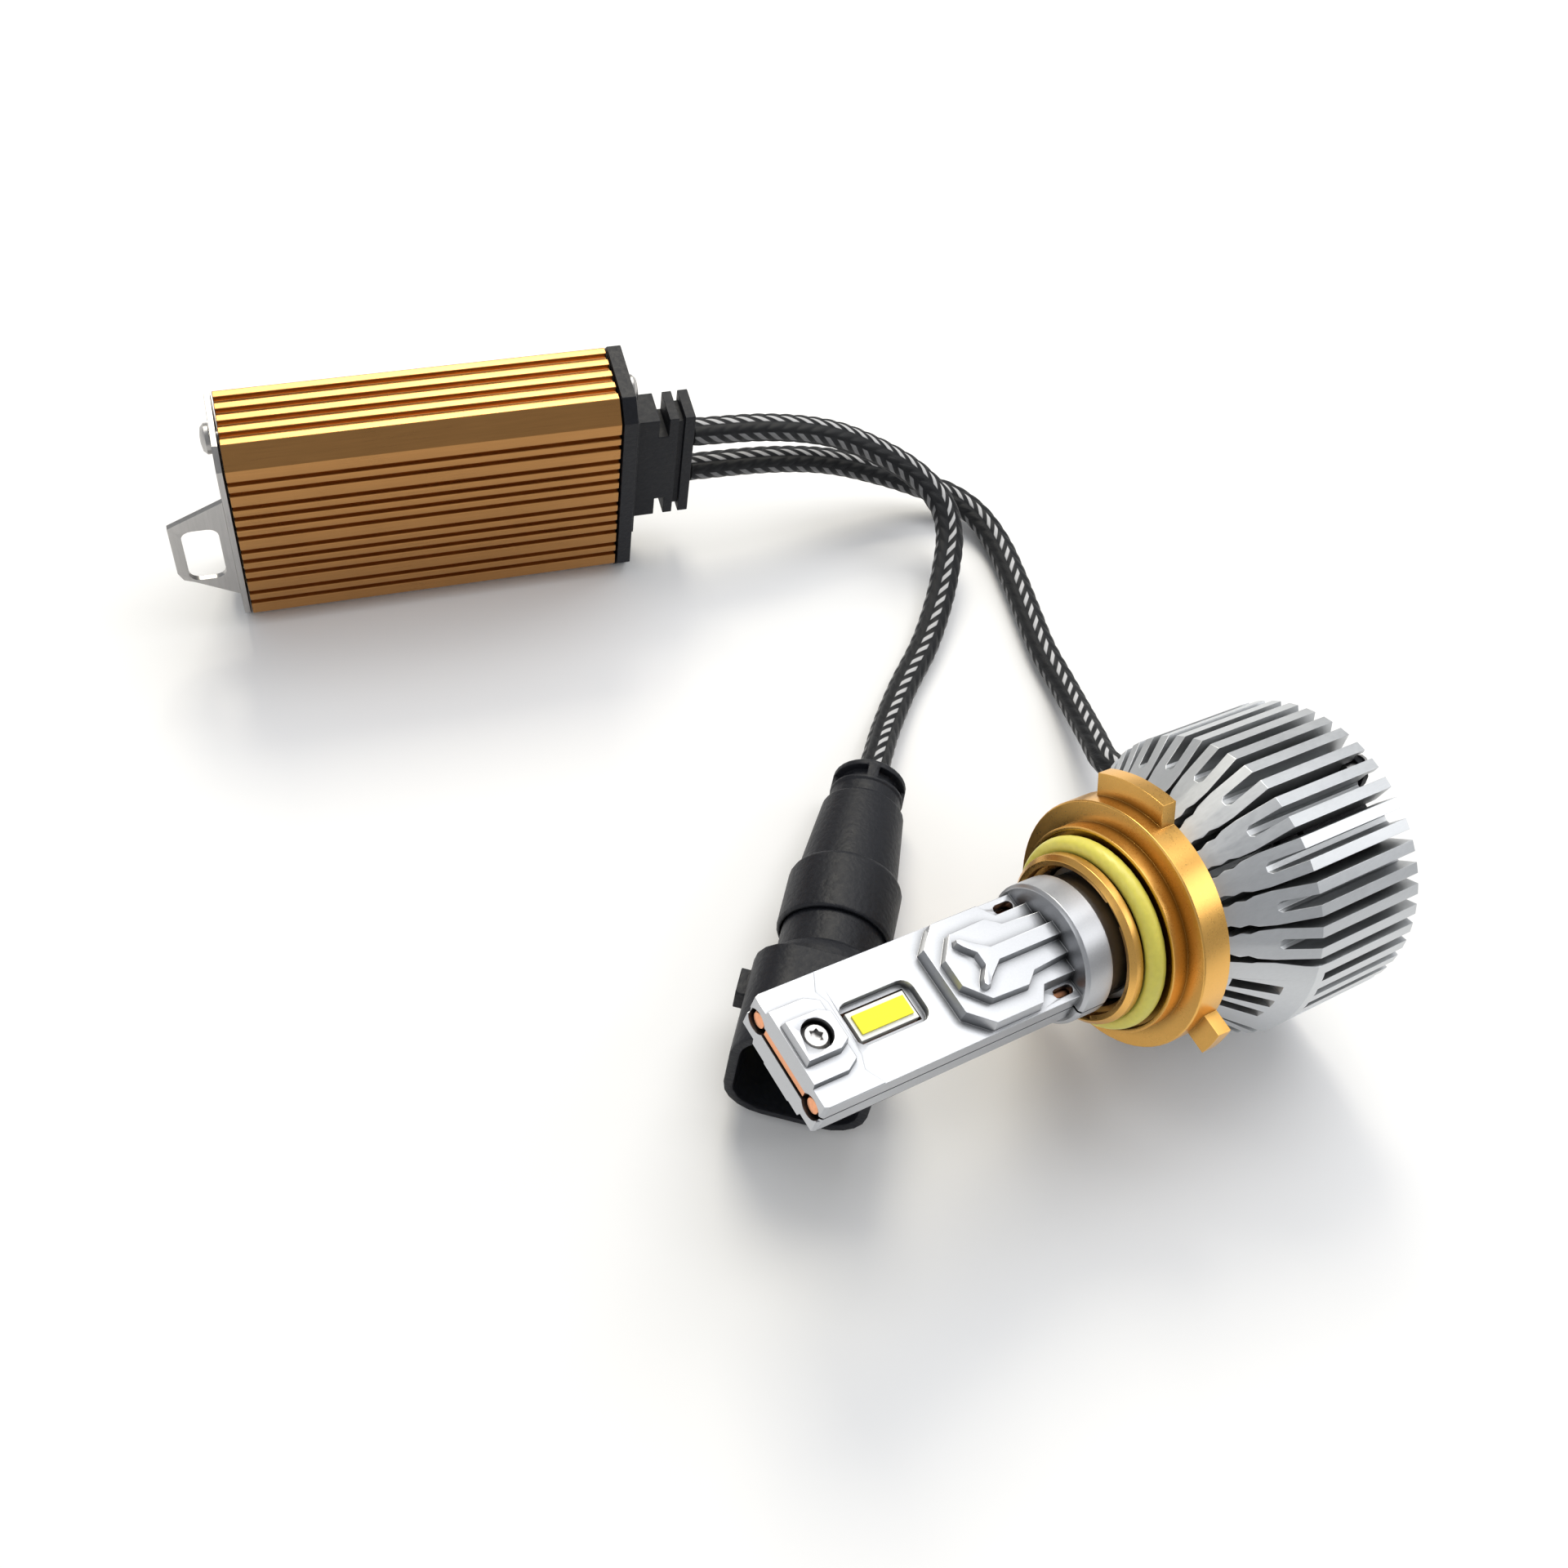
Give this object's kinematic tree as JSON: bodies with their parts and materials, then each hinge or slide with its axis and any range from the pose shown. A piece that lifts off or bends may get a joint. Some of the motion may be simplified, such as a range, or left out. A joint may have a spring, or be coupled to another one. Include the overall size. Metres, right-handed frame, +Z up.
{
  "type": "led headlight bulb",
  "caption": "LED headlight bulb with finned heat sink and fan, gold lock flange, driver box and feed plug on braided cables.",
  "frame": {"origin": "centre of the base of the bulb and driver box together, on the table they lie on", "axes": "+Z up; +Y from the bulb towards the driver box; the bulb's nose points to -X and is raised 10.6 degrees"},
  "size_m": [0.1181, 0.1413, 0.0435],
  "materials": {
    "cast_aluminium": "satin",
    "gold_anodised": "satin gold anodised",
    "bronze_anodised": "satin bronze anodised",
    "copper": "bare copper",
    "steel": "brushed",
    "black_plastic": "fine matte grain",
    "black_rubber": "matte",
    "braided_sleeve": "black and grey braid",
    "yellow_silicone": "translucent satin",
    "white_ceramic": "matte white",
    "yellow_phosphor": "matte yellow",
    "circuit_board": "solder mask",
    "ferrite": "moulded, matte",
    "tinned_brass": "tinned"
  },
  "bodies": {
    "bulb": {"blade_screw": "steel", "blade_shell_lower": "cast_aluminium", "blade_shell_upper": "cast_aluminium", "bulb_cable": "braided_sleeve", "cable_gland": "black_rubber", "cable_grommet": "black_rubber", "core_board": "copper", "driver_board": "circuit_board", "driver_capacitor_1": "black_plastic", "driver_capacitor_2": "black_plastic", "driver_controller": "ferrite", "driver_end_cap": "black_plastic", "driver_end_plate": "steel", "driver_housing": "bronze_anodised", "driver_inductor": "copper", "driver_mosfet_1": "ferrite", "driver_mosfet_2": "ferrite", "end_cap_screw_bottom": "steel", "end_cap_screw_top": "steel", "end_plate_screw_bottom": "steel", "end_plate_screw_top": "steel", "fan_bearing": "copper", "fan_frame": "black_plastic", "fan_screw_1": "steel", "fan_screw_2": "steel", "fan_screw_3": "steel", "fan_stator": "ferrite", "flange_snap_ring": "steel", "heat_pipe_left": "copper", "heat_pipe_right": "copper", "heat_sink": "cast_aluminium", "input_cable": "braided_sleeve", "led_lower_phosphor": "yellow_phosphor", "led_lower_substrate": "white_ceramic", "led_upper_phosphor": "yellow_phosphor", "led_upper_substrate": "white_ceramic", "plug_body": "black_plastic", "plug_boot": "black_plastic", "plug_seal": "yellow_silicone", "plug_terminal_left": "tinned_brass", "plug_terminal_right": "tinned_brass"},
    "flange": {"mount_flange": "gold_anodised", "flange_seal": "yellow_silicone"},
    "fan": {"fan_rotor": "black_plastic", "fan_magnet": "ferrite", "fan_shaft": "steel"}
  },
  "joints": [
    {"name": "flange_turn", "type": "hinge", "parent": "bulb", "child": "flange", "pos_m": [0.02075, -0.05074, 0.02576], "axis": [-0.983, 0, 0.1837], "continuous": true},
    {"name": "fan_spin", "type": "hinge", "parent": "bulb", "child": "fan", "pos_m": [0.04926, -0.05074, 0.02044], "axis": [-0.983, 0, 0.1837], "continuous": true}
  ]
}
